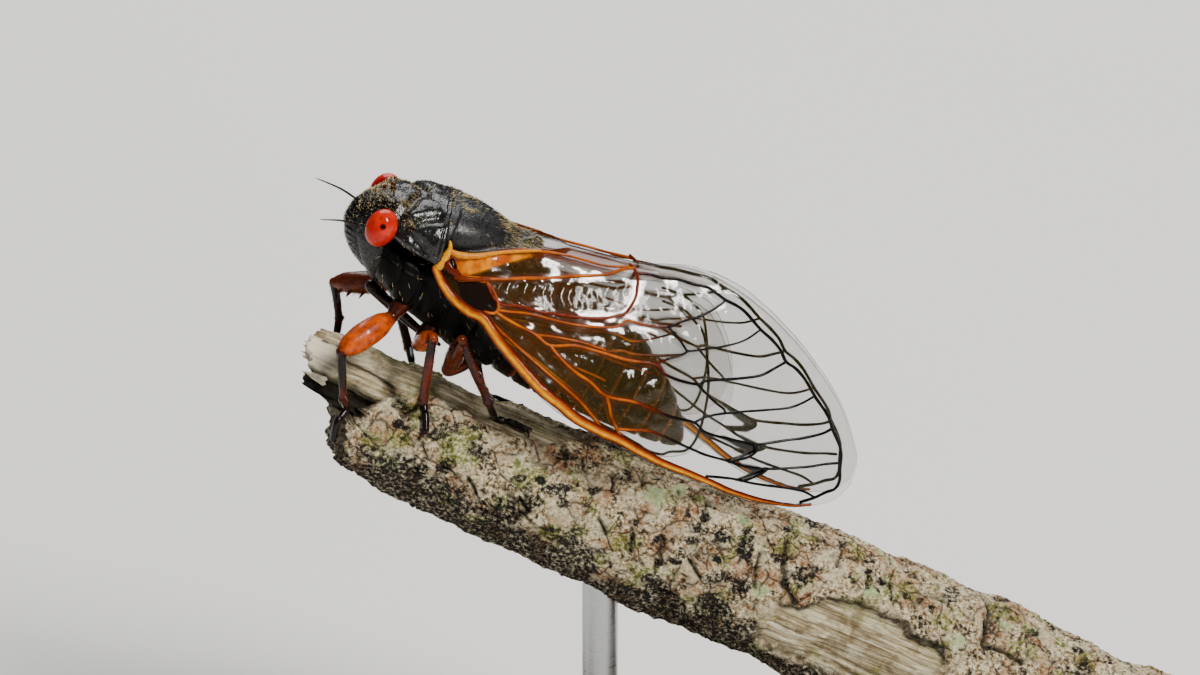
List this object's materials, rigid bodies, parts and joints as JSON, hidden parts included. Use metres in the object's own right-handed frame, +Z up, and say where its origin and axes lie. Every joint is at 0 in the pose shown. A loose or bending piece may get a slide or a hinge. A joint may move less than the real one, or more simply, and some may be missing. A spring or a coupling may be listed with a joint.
{
  "type": "cicada on perch",
  "caption": "Black periodical-type cicada with red eyes and roofed clear wings, gripping a short broken stick on a rod display stand.",
  "frame": {"origin": "centre of the underside of the stand's base plate", "axes": "+Z up, +X towards the insect's tail and the stick's low cut end, -Y towards the insect's left side"},
  "size_m": [0.084, 0.044, 0.0604],
  "materials": {
    "black_shell": "glossy black cuticle with fine gold down",
    "dark_shell": "dark brown-black cuticle with orange-brown ring edges",
    "eye_red": "glossy red compound eye",
    "leg_orange": "glossy orange cuticle",
    "leg_dark": "glossy dark red-brown cuticle",
    "wing_membrane": "clear amber membrane with orange to black veins",
    "bark": "matt grey-tan bark with lichen and bare weathered wood",
    "stand_wood": "satin dark walnut",
    "stand_steel": "fine brushed steel"
  },
  "bodies": {
    "root": {"head": "black_shell", "eye_left": "eye_red", "eye_right": "eye_red", "antenna_left": "leg_dark", "antenna_right": "leg_dark", "beak": "leg_dark", "pronotum": "black_shell", "mesonotum": "black_shell", "thorax": "black_shell", "abdomen": "dark_shell", "forewing_left": "wing_membrane", "forewing_right": "wing_membrane", "hindwing_left": "wing_membrane", "hindwing_right": "wing_membrane", "perch": "bark", "stand_base": "stand_wood", "stand_rod_front": "stand_steel", "stand_rod_rear": "stand_steel", "leg_front_left_femur": "leg_orange", "leg_front_left_tibia": "leg_dark", "leg_front_left_tarsus": "leg_dark", "leg_front_right_femur": "leg_orange", "leg_front_right_tibia": "leg_dark", "leg_front_right_tarsus": "leg_dark", "leg_middle_left_femur": "leg_orange", "leg_middle_left_tibia": "leg_dark", "leg_middle_left_tarsus": "leg_dark", "leg_middle_right_femur": "leg_orange", "leg_middle_right_tibia": "leg_dark", "leg_middle_right_tarsus": "leg_dark", "leg_hind_left_femur": "leg_orange", "leg_hind_left_tibia": "leg_dark", "leg_hind_left_tarsus": "leg_dark", "leg_hind_right_femur": "leg_orange", "leg_hind_right_tibia": "leg_dark", "leg_hind_right_tarsus": "leg_dark"}
  },
  "joints": []
}
